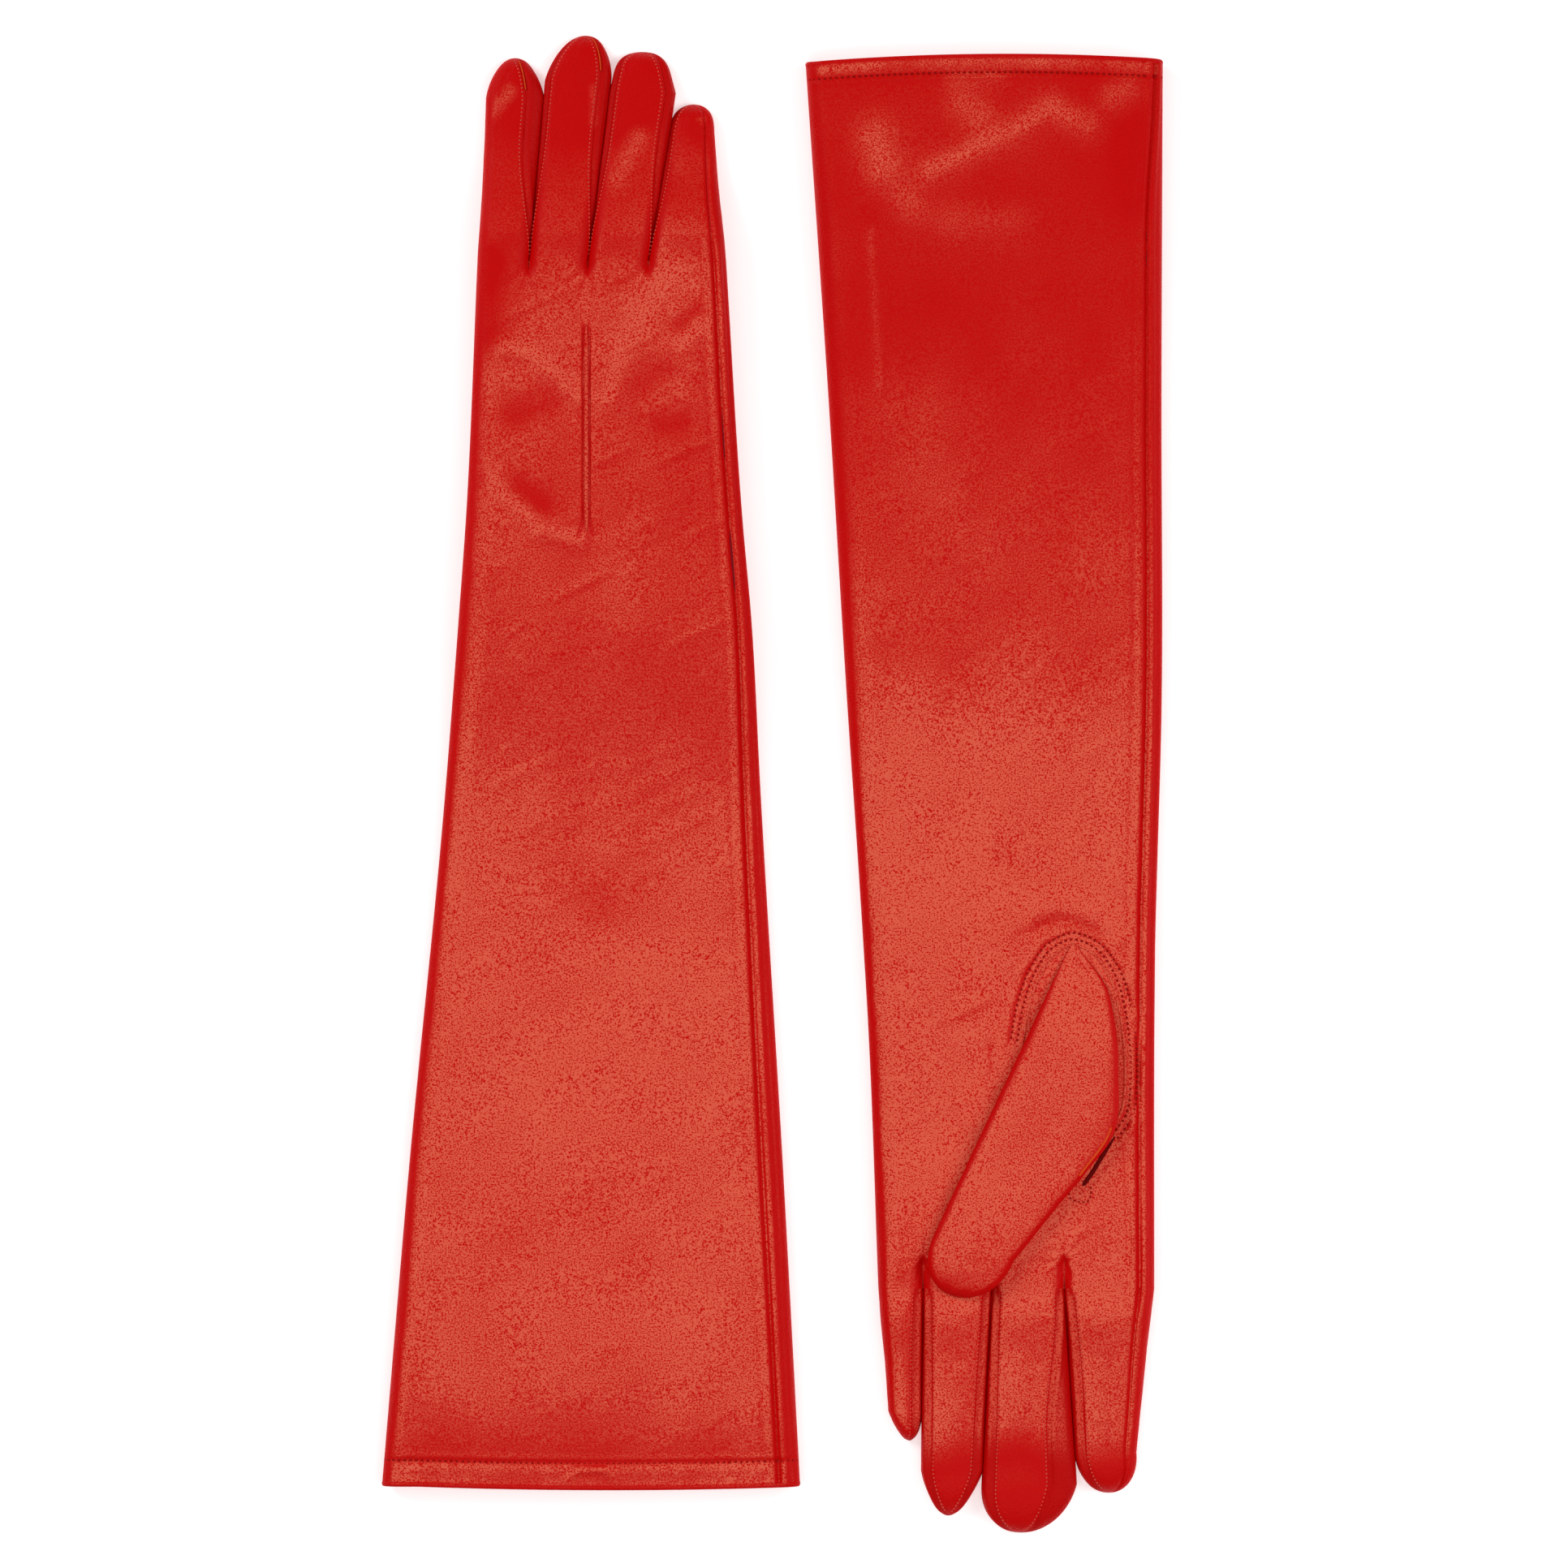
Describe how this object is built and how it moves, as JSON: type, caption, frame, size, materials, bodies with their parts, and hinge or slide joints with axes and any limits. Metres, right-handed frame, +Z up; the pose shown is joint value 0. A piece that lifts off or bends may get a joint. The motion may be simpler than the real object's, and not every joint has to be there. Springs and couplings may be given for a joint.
{
  "type": "opera gloves",
  "caption": "Pair of long leather opera gloves laid flat head to tail, one back up and one palm up, with lined sleeves, set-in thumbs and fingers that fold.",
  "frame": {"origin": "centre of the pair's outline on the table it lies on", "axes": "+Y along the gloves, towards the right-hand glove's fingertips; +Z up from the table; +X from the right-hand glove to the left-hand glove"},
  "size_m": [0.2699, 0.5164, 0.0173],
  "materials": {
    "glove_leather": "soft grained nappa, satin",
    "fourchette_leather": "soft grained nappa, satin",
    "lining": "fine knit, matte",
    "thread": "twisted thread, soft sheen"
  },
  "bodies": {
    "right_glove": {"right_back_panel": "glove_leather", "right_back_fold": "glove_leather", "right_palm_panel": "glove_leather", "right_palm_fold": "glove_leather", "right_hem_facing": "glove_leather", "right_hem_stitching": "thread", "right_sleeve_lining": "lining", "right_back_point": "glove_leather", "right_thumb_seam": "glove_leather", "right_thumb_quirk": "fourchette_leather"},
    "right_thumb": {"right_thumb": "glove_leather", "right_thumb_lining": "lining"},
    "right_index_finger": {"right_index_back": "glove_leather", "right_index_palm": "glove_leather", "right_index_lining": "lining", "right_index_fork_little_side": "fourchette_leather"},
    "right_middle_finger": {"right_middle_back": "glove_leather", "right_middle_palm": "glove_leather", "right_middle_lining": "lining", "right_middle_fork_index_side": "fourchette_leather", "right_middle_fork_little_side": "fourchette_leather"},
    "right_ring_finger": {"right_ring_back": "glove_leather", "right_ring_palm": "glove_leather", "right_ring_lining": "lining", "right_ring_fork_index_side": "fourchette_leather", "right_ring_fork_little_side": "fourchette_leather"},
    "right_little_finger": {"right_little_back": "glove_leather", "right_little_palm": "glove_leather", "right_little_lining": "lining", "right_little_fork_index_side": "fourchette_leather"},
    "left_glove": {"left_back_panel": "glove_leather", "left_back_fold": "glove_leather", "left_palm_panel": "glove_leather", "left_palm_fold": "glove_leather", "left_hem_facing": "glove_leather", "left_hem_stitching": "thread", "left_sleeve_lining": "lining", "left_back_point": "glove_leather", "left_thumb_seam": "glove_leather", "left_thumb_quirk": "fourchette_leather"},
    "left_thumb": {"left_thumb": "glove_leather", "left_thumb_lining": "lining"},
    "left_index_finger": {"left_index_back": "glove_leather", "left_index_palm": "glove_leather", "left_index_lining": "lining", "left_index_fork_little_side": "fourchette_leather"},
    "left_middle_finger": {"left_middle_back": "glove_leather", "left_middle_palm": "glove_leather", "left_middle_lining": "lining", "left_middle_fork_index_side": "fourchette_leather", "left_middle_fork_little_side": "fourchette_leather"},
    "left_ring_finger": {"left_ring_back": "glove_leather", "left_ring_palm": "glove_leather", "left_ring_lining": "lining", "left_ring_fork_index_side": "fourchette_leather", "left_ring_fork_little_side": "fourchette_leather"},
    "left_little_finger": {"left_little_back": "glove_leather", "left_little_palm": "glove_leather", "left_little_lining": "lining", "left_little_fork_index_side": "fourchette_leather"}
  },
  "joints": [
    {"name": "left_glove_lift", "type": "slide", "parent": "right_glove", "child": "left_glove", "axis": [0, 0, 1], "range_m": [0, 0.12]},
    {"name": "right_index_bend", "type": "hinge", "parent": "right_glove", "child": "right_index_finger", "pos_m": [-0.09259, 0.18904, 0.0167], "axis": [1, 0, 0], "range_deg": [0, 85]},
    {"name": "right_middle_bend", "type": "hinge", "parent": "right_glove", "child": "right_middle_finger", "pos_m": [-0.07318, 0.18904, 0.0167], "axis": [1, 0, 0], "range_deg": [0, 85]},
    {"name": "right_ring_bend", "type": "hinge", "parent": "right_glove", "child": "right_ring_finger", "pos_m": [-0.05232, 0.18904, 0.0167], "axis": [1, 0, 0], "range_deg": [0, 85]},
    {"name": "right_little_bend", "type": "hinge", "parent": "right_glove", "child": "right_little_finger", "pos_m": [-0.02948, 0.18904, 0.0167], "axis": [1, 0, 0], "range_deg": [0, 85]},
    {"name": "right_thumb_swing", "type": "hinge", "parent": "right_glove", "child": "right_thumb", "pos_m": [-0.0971, 0.11004, 0.005], "axis": [0, 1, 0], "range_deg": [0, 90]},
    {"name": "left_index_bend", "type": "hinge", "parent": "left_glove", "child": "left_index_finger", "pos_m": [0.11554, -0.18286, 0.0114], "axis": [-1, 0, 0], "range_deg": [0, 85]},
    {"name": "left_middle_bend", "type": "hinge", "parent": "left_glove", "child": "left_middle_finger", "pos_m": [0.08767, -0.18286, 0.0114], "axis": [-1, 0, 0], "range_deg": [0, 85]},
    {"name": "left_ring_bend", "type": "hinge", "parent": "left_glove", "child": "left_ring_finger", "pos_m": [0.063, -0.18286, 0.0114], "axis": [-1, 0, 0], "range_deg": [0, 85]},
    {"name": "left_little_bend", "type": "hinge", "parent": "left_glove", "child": "left_little_finger", "pos_m": [0.04403, -0.18286, 0.0114], "axis": [-1, 0, 0], "range_deg": [0, 85]},
    {"name": "left_thumb_swing", "type": "hinge", "parent": "left_glove", "child": "left_thumb", "pos_m": [0.1214, -0.10386, 0.0123], "axis": [0, 1, 0], "range_deg": [0, 90]}
  ]
}
